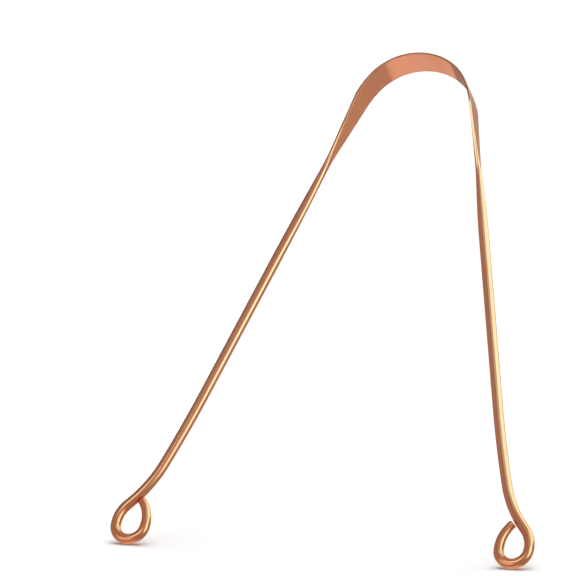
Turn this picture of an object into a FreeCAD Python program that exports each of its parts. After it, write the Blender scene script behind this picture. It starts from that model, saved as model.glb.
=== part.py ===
import FreeCAD, Part
import os
from math import cos, dist, radians, sin, sqrt

# A tongue scraper bent from one springy copper wire: a flattened arch that scrapes, a tapering shoulder and
# neck on each side, two round splayed arms, and a hanging eye rolled at the end of each arm.
# X runs across, from the left eye to the right one, Y through the flat U, and Z from the eyes to the arch.
# The origin is midway between the eyes, level with the lowest point of both. Lengths are in millimetres.

# Wire and blade
wire_diameter = 2.5
blade_width = 8.3
blade_thickness = 0.55
blade_edge_radius = 0.15
neck_diameter = 1.28

# Bends and straights of one half, in order from the middle of the arch to the cut end, angles in degrees
arch_radius = 14.0
arch_angle = 57.3
ease_radius = 22.8
ease_angle = 17.5
shoulder_length = 16.5
neck_length = 23.0
arm_length = 44.7
bow_radius = 345.0
bow_angle = 3.6
splay_radius = 32.6
splay_angle = 23.1
entry_radius = 7.8
entry_angle = 49.2
eye_radius = 3.63
eye_angle = 163.7
return_radius = 9.42

# Clearances
flex_gap = 0.1   # between the blade and each shoulder, across the line where the spring flexes
end_gap = 0.1    # between the cut end of the wire and the arm that it meets

wire_radius = wire_diameter / 2
across = FreeCAD.Vector(1, 0, 0)
through = FreeCAD.Vector(0, 1, 0)

# A run of the wire is a pair: a straight's length with no turn, or a bend's radius with its turn.
arch = (arch_radius, arch_angle)
ease = (ease_radius, ease_angle)
shoulder = (shoulder_length, 0)
neck = (neck_length, 0)
arm = (arm_length, 0)
bow = (bow_radius, -bow_angle)
splay = (splay_radius, -splay_angle)
entry = (entry_radius, entry_angle)
eye = (eye_radius, eye_angle)


# A station on the centre line is x, z and the heading, in degrees clockwise from +X.
def bend_centre(station, run):
    x, z, heading = station
    radius, turn = run
    inward = -radius if turn > 0 else radius
    return x + inward * sin(radians(heading)), z + inward * cos(radians(heading))


def advance(station, run):
    x, z, heading = station
    size, turn = run
    if turn == 0:
        return x + size * cos(radians(heading)), z - size * sin(radians(heading)), heading
    centre_x, centre_z = bend_centre(station, run)
    outward = size if turn > 0 else -size
    heading += turn
    return centre_x + outward * sin(radians(heading)), centre_z + outward * cos(radians(heading)), heading


def stations(start, runs):
    line = [start]
    for run in runs:
        line.append(advance(line[-1], run))
    return line


# A point off the centre line: beside it along Y, and outward, square to the wire in the plane of the U.
def place(station, beside, outward):
    x, z, heading = station
    return FreeCAD.Vector(x + outward * sin(radians(heading)), beside, z + outward * cos(radians(heading)))


# The strip's section: four flats and four rounded corners, as points (beside, outward).
def strip_section(station):
    beside = blade_width / 2
    outward = blade_thickness / 2
    inset = blade_edge_radius
    bulge = blade_edge_radius * (1 - sqrt(1 / 2))
    edges = []
    quarters = ((1, 1), (-1, 1), (-1, -1), (1, -1))
    for number, (side, face) in enumerate(quarters):
        on_edge = place(station, side * beside, face * (outward - inset))
        on_corner = place(station, side * (beside - bulge), face * (outward - bulge))
        on_face = place(station, side * (beside - inset), face * outward)
        first, last = (on_edge, on_face) if side == face else (on_face, on_edge)
        next_side, next_face = quarters[(number + 1) % len(quarters)]
        if next_face == face:
            following = place(station, next_side * (beside - inset), face * outward)
        else:
            following = place(station, side * beside, next_face * (outward - inset))
        edges.append(Part.Arc(first, on_corner, last).toShape())
        edges.append(Part.LineSegment(last, following).toShape())
    return Part.Wire(edges)


# A round section in eight arcs, in step with the strip's four corners and four flats.
def round_section(station, diameter):
    arc_count = 8
    step = 360 / arc_count
    edges = []
    for number in range(arc_count):
        angles = [radians(step * (number + part)) for part in (1 / 2, 1, 3 / 2)]
        points = [place(station, diameter / 2 * cos(angle), diameter / 2 * sin(angle)) for angle in angles]
        edges.append(Part.Arc(*points).toShape())
    return Part.Wire(edges)


def disc(station):
    x, z, heading = station
    facing = FreeCAD.Vector(cos(radians(heading)), 0, -sin(radians(heading)))
    return Part.Face(Part.Wire(Part.makeCircle(wire_radius, place(station, 0, 0), facing)))


# Carry a section face along one straight or round one bend.
def carry(section, station, run):
    size, turn = run
    if turn == 0:
        heading = radians(station[2])
        return section.extrude(FreeCAD.Vector(size * cos(heading), 0, -size * sin(heading)))
    centre_x, centre_z = bend_centre(station, run)
    return section.revolve(FreeCAD.Vector(centre_x, 0, centre_z), through, turn)


def joined(pieces):
    solid = pieces[0].multiFuse(pieces[1:]).removeSplitter()
    return solid.Solids[0]


def round_wire(start, runs):
    line = stations(start, runs)
    return joined([carry(disc(station), station, run) for station, run in zip(line, runs)])


# The return bend runs on until the nearer corner of its cut end stands end_gap from the arm.
def return_angle(splay_start, eye_end):
    leg = []
    sample_count = 400
    for start, run in ((splay_start, splay), (advance(splay_start, splay), entry)):
        radius, turn = run
        turns = [turn * (number + 1) / sample_count for number in range(sample_count)]
        leg += [advance(start, (radius, part_turn)) for part_turn in turns]

    def clearance(turn):
        x, z, heading = advance(eye_end, (return_radius, turn))
        corners = [(x + side * sin(radians(heading)), z + side * cos(radians(heading)))
                   for side in (-wire_radius, wire_radius)]
        return min(dist(corner, point[:2]) for corner in corners for point in leg) - wire_radius

    halving_count = 40
    clear, too_far = 0, 90
    for halving in range(halving_count):
        middle = (clear + too_far) / 2
        if clearance(middle) > end_gap:
            clear = middle
        else:
            too_far = middle
    return clear


# One half of the centre line, set down so that the lowest point of the eye is at z = 0
half_runs = {"arch": arch, "ease": ease, "shoulder": shoulder, "neck": neck,
             "arm": arm, "bow": bow, "splay": splay, "entry": entry}
hanging = stations((0, 0, 0), half_runs.values())
apex = (0, eye_radius + wire_radius - bend_centre(hanging[-1], eye)[1], 0)
ends = dict(zip(half_runs, stations(apex, half_runs.values())[1:]))
eye_end = advance(ends["entry"], eye)
back = (return_radius, return_angle(ends["bow"], eye_end))
shoulder_start = advance(ends["ease"], (flex_gap, 0))


def make_blade():
    halves = []
    for station, run in ((apex, arch), (ends["arch"], ease)):
        piece = carry(Part.Face(strip_section(station)), station, run)
        halves += [piece, piece.mirror(FreeCAD.Vector(), across)]
    return joined(halves)


def make_shoulder():
    wires = [strip_section(shoulder_start), round_section(ends["shoulder"], neck_diameter)]
    return Part.makeLoft(wires, True, True)


def make_neck():
    start = place(ends["shoulder"], 0, 0)
    along = place(ends["neck"], 0, 0) - start
    return Part.makeCone(neck_diameter / 2, wire_radius, neck_length, start, along)


half_pieces = {
    "shoulder": make_shoulder(),
    "neck": make_neck(),
    "arm": round_wire(ends["neck"], [arm, bow, splay]),
    "eye": round_wire(ends["splay"], [entry, eye, back]),
}
nodes = {"blade": make_blade()}
for name, piece in half_pieces.items():
    nodes["right_" + name] = piece
    nodes["left_" + name] = piece.mirror(FreeCAD.Vector(), across)

os.makedirs("parts", exist_ok=True)
for name, shape in nodes.items():
    shape.exportStep("parts/" + name + ".step")
    print(name, shape.ShapeType, shape.isValid(), round(shape.Volume, 2), "mm3")

flex_x, flex_z = [(a + b) / 2 for a, b in zip(ends["ease"][:2], shoulder_start[:2])]
print("flexing line at x", round(flex_x, 3), "z", round(flex_z, 3))
eye_x, eye_z = bend_centre(ends["entry"], eye)
print("eye centre at x", round(eye_x, 3), "z", round(eye_z, 3))
print("return bend", round(back[1], 2), "degrees")
whole = Part.makeCompound(list(nodes.values())).BoundBox
print("overall", round(whole.XLength, 2), round(whole.YLength, 2), round(whole.ZLength, 2))
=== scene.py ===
import math
import bpy
import numpy as np
from mathutils import Matrix, Vector


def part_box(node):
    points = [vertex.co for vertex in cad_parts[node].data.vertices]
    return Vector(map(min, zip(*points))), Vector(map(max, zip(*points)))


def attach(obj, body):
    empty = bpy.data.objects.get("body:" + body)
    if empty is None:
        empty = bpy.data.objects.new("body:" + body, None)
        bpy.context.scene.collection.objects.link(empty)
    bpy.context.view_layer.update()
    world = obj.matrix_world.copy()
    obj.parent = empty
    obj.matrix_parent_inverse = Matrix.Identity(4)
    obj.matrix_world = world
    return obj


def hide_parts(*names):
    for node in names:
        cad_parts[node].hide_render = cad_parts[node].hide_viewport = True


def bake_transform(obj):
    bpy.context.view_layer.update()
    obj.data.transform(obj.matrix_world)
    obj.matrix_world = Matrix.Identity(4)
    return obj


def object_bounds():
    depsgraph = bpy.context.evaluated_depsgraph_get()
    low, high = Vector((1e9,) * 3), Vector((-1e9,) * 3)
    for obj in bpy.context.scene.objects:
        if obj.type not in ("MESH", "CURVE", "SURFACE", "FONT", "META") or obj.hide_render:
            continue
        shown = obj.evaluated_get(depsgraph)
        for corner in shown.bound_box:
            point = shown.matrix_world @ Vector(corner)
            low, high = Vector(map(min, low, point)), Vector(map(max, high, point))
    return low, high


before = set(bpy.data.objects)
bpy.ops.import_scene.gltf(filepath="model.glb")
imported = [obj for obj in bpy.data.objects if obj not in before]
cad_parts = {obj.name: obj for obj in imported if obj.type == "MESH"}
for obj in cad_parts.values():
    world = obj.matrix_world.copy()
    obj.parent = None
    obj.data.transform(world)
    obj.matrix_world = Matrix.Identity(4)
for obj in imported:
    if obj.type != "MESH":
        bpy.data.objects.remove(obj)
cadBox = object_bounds()
scene = bpy.context.scene
scene.view_settings.view_transform = "Standard"

mm = 0.001


def nodeDepth(node):  # how far a node reaches through the flat U, in mm
    low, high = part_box(node)
    return (high[1] - low[1]) / mm


# one half of the wire, from the middle of the arch to the cut end: lengths in mm, angles in degrees, and
# stretches by the arc lengths where they begin and end
wire = {
    "fullWidth": nodeDepth("right_arm"),
    "stripWidth": nodeDepth("blade"),
    "stripThickness": 0.55,
    "stripCorner": 0.10,
    "neckWidth": 1.80,
    "narrowing": (20.2, 38.6),
    "narrowingEase": 0.07,          # how softly it begins and ends, as a share of its stretch
    "thickening": (22.5, 57.0),
    "rounding": (27.0, 43.0),
    "filling": (42.0, 70.0),
    "neckTurn": 20.0,               # how far the section turns about the wire
    "turning": (36.0, 43.0),
    "cutTaper": (9.0, 0.16),        # how long the drawn-out cut end is, and the share that it loses
    "cutRim": 0.22,                 # rounding of the cut end
    "cutRimSteps": 8,
    "runs": {                       # a straight's length, or a bend's radius and angle
        "arch": (14.0, 57.3),
        "ease": (22.8, 17.5),
        "shoulder": 16.5,
        "neck": 23.0,
        "arm": 44.7,
        "bow": (345.0, -3.6),
        "splay": (32.6, -23.1),
        "entry": (7.8, 49.2),
        "eye": (3.63, 163.7),
        "back": (9.42, 49.44),
    },
    "fineStep": 0.14,               # between rings on the blade, shoulder and eye
    "coarseStep": 0.28,             # and on the neck and arm
    "pointsPerSide": 9,             # on each corner and each flat of the section
    "crowding": 0.98,               # of a flat's points towards its ends, which keeps its shading flat
}
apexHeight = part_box("blade")[1][2] / mm - wire["stripThickness"] / 2

runs = wire["runs"].values()
runTurns = np.array([math.radians(run[1]) if isinstance(run, tuple) else 0 for run in runs])
runLengths = np.array([abs(run[0] * math.radians(run[1])) if isinstance(run, tuple) else run
                       for run in runs])
runCurves = runTurns / runLengths
runStarts = np.concatenate([[0], np.cumsum(runLengths)])
runHeadings = np.concatenate([[0], np.cumsum(runTurns)])
runEnd = dict(zip(wire["runs"], runStarts[1:]))


# a step along a run of steady curvature k: (sin h - sin h0) / k and (cos h - cos h0) / k, or, where k is 0,
# straight along the heading h0
def stepAlong(run, s):
    h0, k, ds = runHeadings[run], runCurves[run], s - runStarts[run]
    h = h0 + k * ds
    straight = k == 0
    safe = np.where(straight, 1, k)
    dx = np.where(straight, np.cos(h0) * ds, (np.sin(h) - np.sin(h0)) / safe)
    dz = np.where(straight, -np.sin(h0) * ds, (np.cos(h) - np.cos(h0)) / safe)
    return dx, dz, h


wholeX, wholeZ, _ = stepAlong(np.arange(len(runLengths)), runStarts[1:])
startX = np.concatenate([[0], np.cumsum(wholeX)])
startZ = np.concatenate([[0], np.cumsum(wholeZ)]) + apexHeight


# the middle of the wire at arc length s: each run's start plus the step along it
def centreLine(s):
    run = np.clip(np.searchsorted(runStarts, s, side="right") - 1, 0, len(runLengths) - 1)
    dx, dz, heading = stepAlong(run, s)
    return startX[run] + dx, startZ[run] + dz, heading


# a flat bar's section: four corner arcs and four flats, each point a corner's sign times the half size plus
# the corner's radius along the direction that the surface faces there; a point at share t of a flat is moved
# to t - c sin(2 pi t) / (2 pi), where c is the crowding
def barSection():
    share = np.arange(wire["pointsPerSide"]) / wire["pointsPerSide"]
    nearEnds = share - wire["crowding"] * np.sin(2 * np.pi * share) / (2 * np.pi)
    signs, facings = [], []
    corners = np.array([(1, 1), (-1, 1), (-1, -1), (1, -1)])
    for number, corner in enumerate(corners):
        following = corners[(number + 1) % len(corners)]
        angle = (number + share) * np.pi / 2
        flatAngle = np.full(len(share), (number + 1) * np.pi / 2)
        signs += [np.tile(corner, (len(share), 1)), corner + (following - corner) * nearEnds[:, None]]
        facings += [np.stack([np.cos(turn), np.sin(turn)], axis=-1) for turn in (angle, flatAngle)]
    return np.concatenate(signs), np.concatenate(facings)


# sections (beside, outward) carried square to the centre line: x, z plus outward along the normal
# (sin h, cos h)
def carrySection(s, sections, side):
    x, z, heading = [value[:, None] for value in centreLine(s)]
    beside, outward = sections[..., 0], sections[..., 1]
    points = [side * (x + outward * np.sin(heading)), beside, z + outward * np.cos(heading)]
    return np.stack(points, axis=-1) * mm


# rings joined by quads, with a flat cap across each end; the map holds arc length and the way round, in mm
def wireMesh(name, s, sections, around, side):
    rings, count = sections.shape[:2]
    index = np.arange(rings * count).reshape(rings, count)
    following = np.roll(index, -1, axis=1)
    quads = np.stack([index[:-1], following[:-1], following[1:], index[1:]], axis=-1).reshape(-1, 4)
    caps = np.stack([index[0][::-1], index[-1]])
    if side < 0:
        quads, caps = quads[:, ::-1], caps[:, ::-1]
    mesh = bpy.data.meshes.new(name)
    points = carrySection(s, sections, side).reshape(-1, 3)
    mesh.from_pydata(points.tolist(), [], quads.tolist() + caps.tolist())
    smooth = np.ones(len(mesh.polygons), dtype=bool)
    smooth[-len(caps):] = False
    mesh.polygons.foreach_set("use_smooth", smooth)
    corner = np.zeros(len(mesh.loops), dtype=np.int32)
    mesh.loops.foreach_get("vertex_index", corner)
    column, ring = corner % count, corner // count
    lastColumn = np.zeros(len(corner), dtype=bool)  # these quads run on past the seam, not back over it
    lastColumn[:quads.size] = np.repeat(np.tile(np.arange(count) == count - 1, rings - 1), 4)
    way = np.where(lastColumn & (column == 0), around[-1], around[column])
    layer = mesh.uv_layers.new(name="wireMap")
    layer.data.foreach_set("uv", np.stack([side * s[ring], way], axis=-1).astype(np.float32).ravel())
    edgePoints = np.zeros(len(mesh.edges) * 2, dtype=np.int32)
    mesh.edges.foreach_get("vertices", edgePoints)
    edgeRing = edgePoints.reshape(-1, 2) // count
    rim = (edgeRing == 0).all(axis=1) | (edgeRing == rings - 1).all(axis=1)
    mesh.attributes.new("sharp_edge", "BOOLEAN", "EDGE").data.foreach_set("value", rim)
    mesh.update()
    piece = bpy.data.objects.new(name, mesh)
    scene.collection.objects.link(piece)
    return piece


# even places from start to end, no further apart than the step
def ringPlaces(start, end, step):
    return np.linspace(start, end, max(2, int(np.ceil((end - start) / step)) + 1))


barSigns, barFacings = barSection()
pointCount = len(barSigns)
roundStart = np.pi / 8          # in step with the bar, whose first corner lies evenly about its diagonal
roundAngle = roundStart + np.arange(pointCount + 1) * 2 * np.pi / pointCount
roundWay = roundAngle * wire["fullWidth"] / 2


# 0 before a stretch of the wire, 1 after it, and 3 t^2 - 2 t^3 along it
def eased(s, stretch):
    t = np.clip((s - stretch[0]) / (stretch[1] - stretch[0]), 0, 1)
    return t * t * (3 - 2 * t)


# near 0 before a stretch, near 1 after it, and an even ramp along it with ends softened by e:
# (1 + sqrt(t^2 + e^2) - sqrt((1 - t)^2 + e^2)) / 2
def rampedSoftly(s, stretch, softness):
    t = (s - stretch[0]) / (stretch[1] - stretch[0])
    return (1 + np.sqrt(t**2 + softness**2) - np.sqrt((1 - t)**2 + softness**2)) / 2


# the section along the wire: a flat bar whose width narrows evenly and whose thickness grows, mixed with an
# ellipse of the same width and thickness until it is one, and turned about the wire in the neck
def wireSections(s):
    narrowed = rampedSoftly(s, wire["narrowing"], wire["narrowingEase"])
    width = wire["stripWidth"] + (wire["neckWidth"] - wire["stripWidth"]) * narrowed
    width = width + (wire["fullWidth"] - wire["neckWidth"]) * eased(s, wire["filling"])
    growth = (wire["fullWidth"] - wire["stripThickness"]) * eased(s, wire["thickening"])
    half = np.stack([width, wire["stripThickness"] + growth], axis=-1)[:, None] / 2
    bar = barSigns * (half - wire["stripCorner"]) + barFacings * wire["stripCorner"]
    ellipse = half * np.stack([np.cos(roundAngle[:-1]), np.sin(roundAngle[:-1])], axis=-1)
    rounded = eased(s, wire["rounding"])[:, None, None]
    beside, outward = np.moveaxis((1 - rounded) * bar + rounded * ellipse, -1, 0)
    turn = np.radians(wire["neckTurn"] * eased(s, wire["turning"]))[:, None]
    return np.stack([beside * np.cos(turn) + outward * np.sin(turn),
                     outward * np.cos(turn) - beside * np.sin(turn)], axis=-1)


strip = wireSections(np.zeros(1))[0]
stripWay = np.concatenate([[0], np.cumsum(np.linalg.norm(np.roll(strip, -1, axis=0) - strip, axis=1))])


# a flat stretch of the wire, or a round one, as a piece of its own
def flatPiece(name, side, start, end):
    s = ringPlaces(start, end, wire["fineStep"])
    return wireMesh(name, s, wireSections(s), stripWay, side)


def roundPiece(name, side, start, end):
    s = ringPlaces(start, end, wire["coarseStep"])
    return wireMesh(name, s, wireSections(s), roundWay, side)


# the eye: the full wire rolled round, thinned towards its cut end, which is drawn in by a quarter circle,
# r (1 - cos t) at r sin t, and then flat
def eyePiece(name, side):
    rim = wire["cutRim"]
    body = ringPlaces(runEnd["splay"], runEnd["back"] - rim, wire["fineStep"])
    turn = np.linspace(0, np.pi / 2, wire["cutRimSteps"] + 1)[1:]
    s = np.concatenate([body, body[-1] + rim * np.sin(turn)])
    drawnIn = np.concatenate([np.zeros(len(body)), rim * (1 - np.cos(turn))])
    taperLength, taperShare = wire["cutTaper"]
    thinner = 1 - taperShare * eased(s, (runEnd["back"] - taperLength, runEnd["back"]))
    share = thinner - 2 * drawnIn / wire["fullWidth"]
    return wireMesh(name, s, wireSections(s) * share[:, None, None], roundWay, side)


# where the spring bends, by arc length in mm: from near the middle of the arch to far down the shoulder
flexing = {"from": 2.0, "to": 34.0}


def pointOn(s, side):
    x, z, _ = centreLine(np.array([s]))
    return (side * x[0] * mm, 0, z[0] * mm)


pieces = []
for hand, side in (("left", -1), ("right", 1)):
    handle = hand + "_handle"
    half = flatPiece(hand + "Blade", side, 0, runEnd["ease"])
    shoulder = flatPiece(hand + "Shoulder", side, runEnd["ease"], runEnd["shoulder"])
    for bending, node in ((half, "blade"), (shoulder, hand + "_shoulder")):
        pointOn(flexing["from"], side)
        pointOn(flexing["to"], side)
        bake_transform(bending)
        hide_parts(node)
    riding = {
        "_neck": roundPiece(hand + "Neck", side, runEnd["shoulder"], runEnd["neck"]),
        "_arm": roundPiece(hand + "Arm", side, runEnd["neck"], runEnd["splay"]),
        "_eye": eyePiece(hand + "Eye", side),
    }
    for node, piece in riding.items():
        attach(piece, handle)
        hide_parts(hand + node)
    pieces += [half, shoulder, *riding.values()]
print("wire bent:", len(pieces), "pieces,", sum(len(piece.data.polygons) for piece in pieces), "faces")


class Socket:
    def __init__(self, tree, output=None):
        self.tree = tree
        self.output = output

    def node(self, kind, settings=None, inputs=None, output=0):
        made = self.tree.nodes.new(kind)
        for name, value in (settings or {}).items():
            setattr(made, name, value)
        for name, value in (inputs or {}).items():
            if isinstance(value, Socket):
                self.tree.links.new(value.output, made.inputs[name])
            else:
                made.inputs[name].default_value = value
        return Socket(self.tree, made.outputs[output] if made.outputs else None)

    def maths(self, operation, first, second):
        return self.node("ShaderNodeMath", {"operation": operation}, {0: first, 1: second})

    def __add__(self, other):
        return self.maths("ADD", self, other)

    def __radd__(self, other):
        return self.maths("ADD", other, self)

    def __rsub__(self, other):
        return self.maths("SUBTRACT", other, self)

    def __mul__(self, other):
        return self.maths("MULTIPLY", self, other)

    def ramp(self, low, high):  # 0 at low to 1 at high, eased at both ends
        inputs = {"Value": self, "From Min": low, "From Max": high}
        return self.node("ShaderNodeMapRange", {"interpolation_type": "SMOOTHSTEP"}, inputs)


def newMaterial(name):
    material = bpy.data.materials.new(name)
    material.use_nodes = True
    material.node_tree.nodes.clear()
    return material, Socket(material.node_tree)


# polished copper: clean metal with a few warmer patches, a painted orange reflection at its lower ends, hair
# lines drawn along the wire, and a soft gloss
copper = {
    "clean": (0.755, 0.300, 0.168, 1),
    "warm": (0.715, 0.255, 0.122, 1),
    "edgeTint": (0.96, 0.75, 0.60, 1),
    "patchScale": 90.0,
    "patchDetail": 3.0,
    "patchGrain": 0.55,
    "patchRange": (0.42, 0.72),         # the noise's values where a patch begins and is full
    "patchAmount": 0.40,
    "paintedReflectionHeight": (0.004, 0.034),    # painted orange reflection: the lower ends are made a warmer, darker copper
    "paintedReflectionAmount": 0.80,
    "roughness": 0.13,
    "roughnessPatch": 0.05,
    "hairRoughness": 0.04,
    "hairAlong": 0.12,
    "hairAcross": 11.0,
    "hairDetail": 4.0,
    "hairGrain": 0.6,
    "hairDepth": 0.0000012,
}


def copperMaterial():
    material, shade = newMaterial("polishedCopper")
    place = shade.node("ShaderNodeTexCoord", output="Object")
    wirePlace = shade.node("ShaderNodeUVMap", {"uv_map": "wireMap"})
    drawn = shade.node("ShaderNodeMapping", {"vector_type": "POINT"},
                       {"Vector": wirePlace, "Scale": (copper["hairAlong"], copper["hairAcross"], 1)})
    hair = shade.node("ShaderNodeTexNoise", None,
                      {"Vector": drawn, "Scale": 1.0, "Detail": copper["hairDetail"],
                       "Roughness": copper["hairGrain"]})
    patch = shade.node("ShaderNodeTexNoise", None,
                       {"Vector": place, "Scale": copper["patchScale"], "Detail": copper["patchDetail"],
                        "Roughness": copper["patchGrain"]})
    patchMask = patch.ramp(*copper["patchRange"])
    height = shade.node("ShaderNodeSeparateXYZ", None, {"Vector": place}, output="Z")
    # the eyes and lower arms get a painted orange reflection, warmer and darker copper towards the bottom
    paintedReflection = 1 - height.ramp(*copper["paintedReflectionHeight"])
    warmth = patchMask * copper["patchAmount"] + paintedReflection * copper["paintedReflectionAmount"]
    colour = shade.node("ShaderNodeMix", {"data_type": "RGBA"},
                        {"Factor": warmth, "A": copper["clean"], "B": copper["warm"]}, output="Result")
    roughness = copper["roughness"] + patchMask * copper["roughnessPatch"]
    roughness = roughness + hair * copper["hairRoughness"]
    bump = shade.node("ShaderNodeBump", None,
                      {"Strength": 1.0, "Distance": copper["hairDepth"], "Height": hair})
    metal = shade.node("ShaderNodeBsdfPrincipled", None,
                       {"Base Color": colour, "Metallic": 1.0, "Roughness": roughness, "Normal": bump,
                        "Specular Tint": copper["edgeTint"]})
    shade.node("ShaderNodeOutputMaterial", None, {"Surface": metal})
    return material


finish = copperMaterial()
for piece in pieces:
    piece.data.materials.append(finish)
print("finish:", finish.name)

white = (1, 1, 1, 1)

# the studio, in its own directions: the scraper leans back and stands on its two eyes
studio = {
    "leanBack": 38.9314,
    "floorReach": 4.0,
    "floorDip": (0.029, 0.0455, 0.0029),    # half widths of the dip's bed and brim, and its depth, in metres
    "dipColumns": 64,
    "floorColour": (0.968, 0.97, 0.972, 1),
    "worldFill": 0.34,
    "sunAt": (0, 66),           # degrees round from straight behind, and up
    "sunSpread": 58,
    "sunLight": 2.62,
    "cardDistance": 1.5,
    "cardStep": 0.02,           # each card stands this much nearer than the one before
    "cardGrid": 2,              # degrees
    "cards": {                  # from and to round, from and to up, soft edge, in degrees, and brightness
        "leftFlag": (-164, -42, -18, 69, 6, 0.48),
        "lowLeftFlag": (-193, -44, -65, -6, 6, 0.65),
        "lowWall": (-52, 12, -74, -23, 8, 0.96),
        "backWall": (-51, -13, -27, 35, 4, 0.40),
        "middleFlag": (-14, 20, -20, 6, 4, 0.55),
        "shoulderFlag": (20, 54, -54, 2, 3, 0.63),
        "rightFlag": (44, 150, -61, 15, 4, 0.51),
        "frontFlag": (136, 198, -44, 42, 6, 0.48),
        "frontHighFlag": (134, 192, 40, 66, 4, 0.45),
        "highFlag": (-78, 5, 11, 50, 6, 0.15),
        "topFlag": (-180, 180, 56, 89, 4, 0.55),
        "edgeFlag": (-151, -133, 36, 70, 2, 0.26),
        "bridgeBox": (108, 188, 64, 80, 4, 1.3),
        "backBox": (17, 108, 4, 71, 4, 2.8),
        "rightBox": (93, 122, -1, 48, 4, 3.2),
        "gapFlag": (46, 80, -7, 24, 4, 0.36),
        "frontPanel": (-182, -128, -15, 32, 6, 1.2),
        "frontBox": (-183, -149, 38, 57, 2, 3.0),
    },
    "tints": {"Box": (0.55, 1.0, 1.0, 1), "Wall": (0.95, 1.0, 1.14, 1), "Flag": white, "Panel": white},
}
lean = math.radians(studio["leanBack"])
floorRight = np.array([1, 0, 0])
floorAway = np.array([0, math.cos(lean), math.sin(lean)])
floorUp = np.array([0, -math.sin(lean), math.cos(lean)])


# a direction by its angle a round from straight behind and its angle b up:
# cos b (sin a right + cos a away) + sin b upwards
def studioDirection(around, up):
    a, b = math.radians(around), math.radians(up)
    flat = math.sin(a) * floorRight + math.cos(a) * floorAway
    return Vector(math.cos(b) * flat + math.sin(b) * floorUp)


def allPoints(piece):
    points = np.zeros(len(piece.data.vertices) * 3, dtype=np.float32)
    piece.data.vertices.foreach_get("co", points)
    return points.reshape(-1, 3)


floorLevel = min((allPoints(piece) @ floorUp).min() for piece in pieces)
middle = (Vector(cadBox[0]) + Vector(cadBox[1])) / 2


# the floor: level with the lowest point of the eyes, with a shallow dip between them, depth (1 - eased) from
# its bed to its brim, since the eyes swing down as well as inwards when the arms are squeezed
def makeFloor():
    reach = studio["floorReach"]
    bed, brim, depth = studio["floorDip"]
    base = floorUp * floorLevel + floorAway * (np.array(middle) @ floorAway)
    across = np.concatenate([[-reach], np.linspace(-brim, brim, studio["dipColumns"]), [reach]])
    sunk = depth * (1 - eased(np.abs(across), (bed, brim)))
    line = base + across[:, None] * floorRight - sunk[:, None] * floorUp
    points = np.concatenate([line - reach * floorAway, line + reach * floorAway])
    index = np.arange(len(points)).reshape(2, -1)
    quads = np.stack([index[0, :-1], index[0, 1:], index[1, 1:], index[1, :-1]], axis=-1)
    mesh = bpy.data.meshes.new("paleFloor")
    mesh.from_pydata(points.tolist(), [], quads.tolist())
    mesh.polygons.foreach_set("use_smooth", np.ones(len(quads), dtype=bool))
    floor = bpy.data.objects.new("paleFloor", mesh)
    scene.collection.objects.link(floor)
    floor.visible_glossy = False       # the world stands in for it there, just as pale
    material, shade = newMaterial("paleFloor")
    behind = shade.node("ShaderNodeNewGeometry", output="Backfacing")
    pale = shade.node("ShaderNodeBsdfDiffuse", None, {"Color": studio["floorColour"]})
    clear = shade.node("ShaderNodeBsdfTransparent")
    mixed = shade.node("ShaderNodeMixShader", None, {0: behind, 1: pale, 2: clear})
    shade.node("ShaderNodeOutputMaterial", None, {"Surface": mixed})
    mesh.materials.append(material)


# a flag or soft box: a patch of a sphere round the object, clear at its edges, each point by its angles
# a round and b up: sin a cos b right + cos a cos b away + sin b upwards
def makeCard(name, roundFrom, roundTo, upFrom, upTo, soft, brightness, distance):
    columns = int(roundTo - roundFrom) // studio["cardGrid"] + 2
    rows = int(upTo - upFrom) // studio["cardGrid"] + 2
    a, b = np.meshgrid(np.radians(np.linspace(roundFrom, roundTo, columns)),
                       np.radians(np.linspace(upFrom, upTo, rows)))
    a, b = a[..., None], b[..., None]
    unit = np.sin(a) * np.cos(b) * floorRight + np.cos(a) * np.cos(b) * floorAway + np.sin(b) * floorUp
    index = np.arange(rows * columns).reshape(rows, columns)
    corners = [index[:-1, :-1], index[1:, :-1], index[1:, 1:], index[:-1, 1:]]
    quads = np.stack(corners, axis=-1).reshape(-1, 4)
    mesh = bpy.data.meshes.new(name)
    mesh.from_pydata((np.array(middle) + distance * unit.reshape(-1, 3)).tolist(), [], quads.tolist())
    a, b = np.degrees(a), np.degrees(b)
    fromEnds = np.minimum(b - upFrom, upTo - b)
    fromSides = np.minimum(a - roundFrom, roundTo - a) * np.cos(np.radians(b))
    inward = np.minimum(fromEnds, fromSides).astype(np.float32)
    mesh.attributes.new("inward", "FLOAT", "POINT").data.foreach_set("value", inward.ravel())
    card = bpy.data.objects.new(name, mesh)
    scene.collection.objects.link(card)
    card.visible_camera = False
    card.visible_diffuse = False
    card.visible_shadow = False
    material, shade = newMaterial(name)
    fromEdge = shade.node("ShaderNodeAttribute", {"attribute_name": "inward"}, output="Fac")
    shown = fromEdge.ramp(0.0, soft)
    colour = next(tint for kind, tint in studio["tints"].items() if name.endswith(kind))
    glow = shade.node("ShaderNodeEmission", None, {"Color": colour, "Strength": brightness})
    clear = shade.node("ShaderNodeBsdfTransparent")
    mixed = shade.node("ShaderNodeMixShader", None, {0: shown, 1: clear, 2: glow})
    shade.node("ShaderNodeOutputMaterial", None, {"Surface": mixed})
    mesh.materials.append(material)


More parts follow.
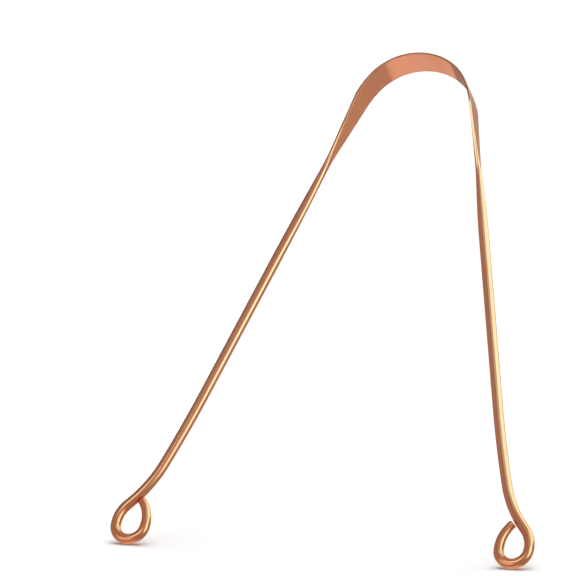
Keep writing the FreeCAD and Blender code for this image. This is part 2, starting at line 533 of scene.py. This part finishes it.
def makeSun():
    sunData = bpy.data.lights.new("softSun", "SUN")
    sunData.energy = studio["sunLight"]
    sunData.angle = math.radians(studio["sunSpread"])
    sun = bpy.data.objects.new("softSun", sunData)
    scene.collection.objects.link(sun)
    outward = studioDirection(*studio["sunAt"])
    turn = outward.to_track_quat("Z", "Y").to_matrix().to_4x4()
    sun.matrix_world = Matrix.Translation(middle + outward) @ turn
    sun.visible_glossy = False      # the cards are what the copper mirrors


def makeWorld():
    world = bpy.data.worlds.new("whiteStudio")
    scene.world = world
    world.use_nodes = True
    world.node_tree.nodes.clear()
    shade = Socket(world.node_tree)
    seen = [shade.node("ShaderNodeLightPath", output=kind)
            for kind in ("Is Camera Ray", "Is Glossy Ray", "Is Transmission Ray")]
    direct = shade.maths("MINIMUM", seen[0] + seen[1] + seen[2], 1.0)
    strength = studio["worldFill"] + direct * (1 - studio["worldFill"])
    light = shade.node("ShaderNodeBackground", None, {"Color": white, "Strength": strength})
    shade.node("ShaderNodeOutputWorld", None, {"Surface": light})


makeFloor()
for number, (name, values) in enumerate(studio["cards"].items()):
    makeCard(name, *values, distance=studio["cardDistance"] - studio["cardStep"] * number)
makeSun()
makeWorld()
print("studio set: floor level", round(float(floorLevel) / mm, 3), "mm")

# the camera's place comes from the photographed outline
view = {
    "round": 18.21874,          # degrees to the scraper's right of straight in front
    "up": 9.8853,
    "distance": 2.5,
    "aim": (-0.0206417, -0.0038871, 0.0698007),
    "lens": 648.3845,
    "sensor": 36.0,
    "clip": (0.1, 20.0),
}


def makeCamera():
    cameraData = bpy.data.cameras.new("photoCamera")
    cameraData.lens = view["lens"]
    cameraData.sensor_width = view["sensor"]
    cameraData.clip_start, cameraData.clip_end = view["clip"]
    camera = bpy.data.objects.new("photoCamera", cameraData)
    scene.collection.objects.link(camera)
    toward = studioDirection(180 - view["round"], view["up"])
    across = Vector(floorUp).cross(toward).normalized()
    upright = toward.cross(across)
    turn = Matrix((across, upright, toward)).transposed().to_4x4()
    camera.matrix_world = Matrix.Translation(Vector(view["aim"]) + toward * view["distance"]) @ turn
    scene.camera = camera


makeCamera()
